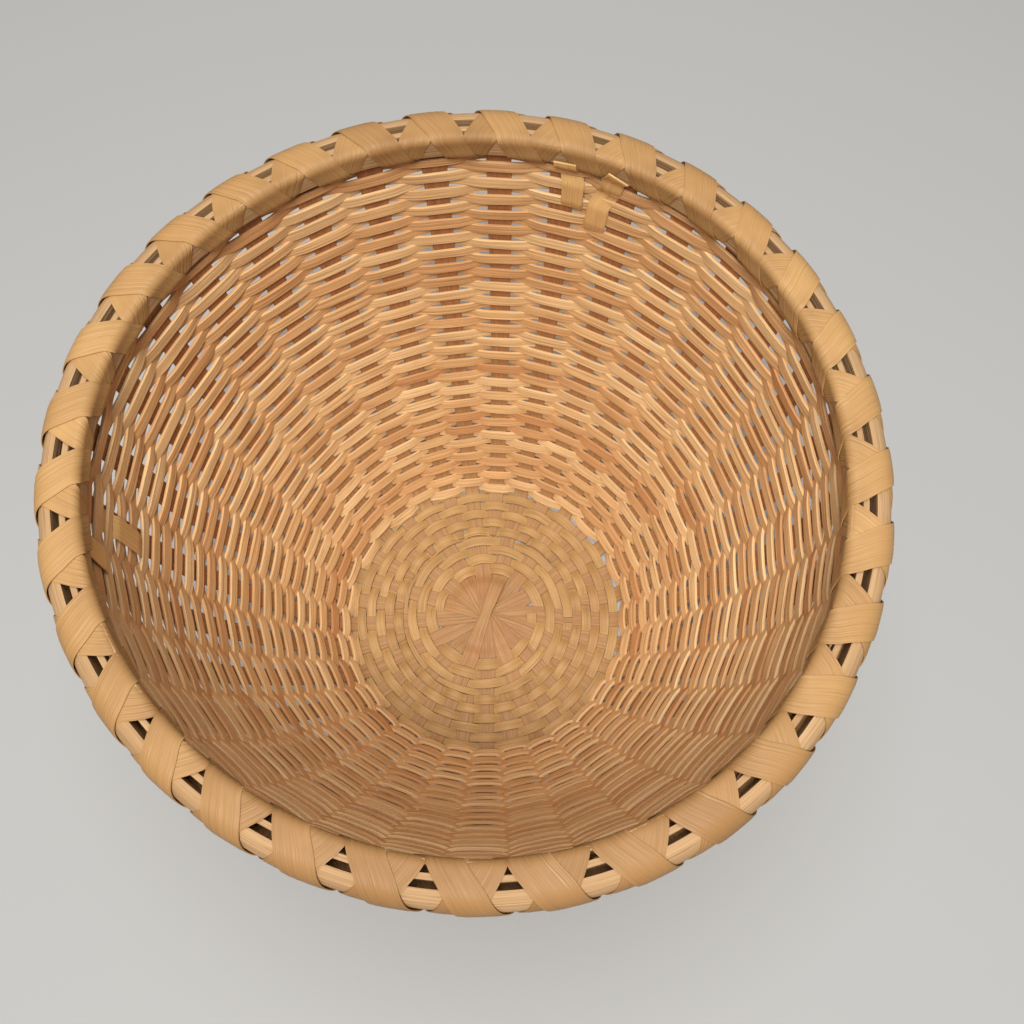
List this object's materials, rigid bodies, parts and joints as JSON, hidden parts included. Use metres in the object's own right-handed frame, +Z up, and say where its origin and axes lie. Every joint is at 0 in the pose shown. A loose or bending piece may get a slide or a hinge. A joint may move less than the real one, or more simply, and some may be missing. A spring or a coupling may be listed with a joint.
{
  "type": "round splint basket",
  "caption": "Round open basket woven of flat wooden splints, with a flat base, flared wall and a hooped rim lashed in crosses, for carrying and storing things.",
  "frame": {"origin": "middle of the base, on the plane the basket stands on", "axes": "+Z up; +Y to the side that is far in the usual view; +X to the right there"},
  "size_m": [0.3802, 0.3803, 0.286],
  "materials": {
    "stake_splint": "aged satin",
    "weaver_splint": "aged satin",
    "hoop_splint": "aged satin",
    "lashing_splint": "aged satin"
  },
  "bodies": {
    "root": {"base_chase_weaver_1": "weaver_splint", "base_chase_weaver_2": "weaver_splint", "base_outer_weaver": "weaver_splint", "hub_splint_1": "stake_splint", "hub_splint_2": "stake_splint", "hub_splint_3": "stake_splint", "hub_splint_4": "stake_splint", "hub_splint_5": "stake_splint", "hub_splint_6": "stake_splint", "hub_splint_7": "stake_splint", "hub_splint_8": "stake_splint", "inner_hoop": "hoop_splint", "lashing_over": "lashing_splint", "lashing_under": "lashing_splint", "outer_hoop": "hoop_splint", "rim_filler": "hoop_splint", "rim_weaver": "weaver_splint", "side_stake_01": "stake_splint", "side_stake_02": "stake_splint", "side_stake_03": "stake_splint", "side_stake_04": "stake_splint", "side_stake_05": "stake_splint", "side_stake_06": "stake_splint", "side_stake_07": "stake_splint", "side_stake_08": "stake_splint", "side_stake_09": "stake_splint", "side_stake_10": "stake_splint", "side_stake_11": "stake_splint", "side_stake_12": "stake_splint", "side_stake_13": "stake_splint", "side_stake_14": "stake_splint", "side_stake_15": "stake_splint", "side_stake_16": "stake_splint", "side_stake_17": "stake_splint", "wall_weaver_01": "weaver_splint", "wall_weaver_02": "weaver_splint", "wall_weaver_03": "weaver_splint", "wall_weaver_04": "weaver_splint", "wall_weaver_05": "weaver_splint", "wall_weaver_06": "weaver_splint", "wall_weaver_07": "weaver_splint", "wall_weaver_08": "weaver_splint", "wall_weaver_09": "weaver_splint", "wall_weaver_10": "weaver_splint", "wall_weaver_11": "weaver_splint", "wall_weaver_12": "weaver_splint", "wall_weaver_13": "weaver_splint", "wall_weaver_14": "weaver_splint", "wall_weaver_15": "weaver_splint", "wall_weaver_16": "weaver_splint", "wall_weaver_17": "weaver_splint", "wall_weaver_18": "weaver_splint", "wall_weaver_19": "weaver_splint", "wall_weaver_20": "weaver_splint"}
  },
  "joints": []
}
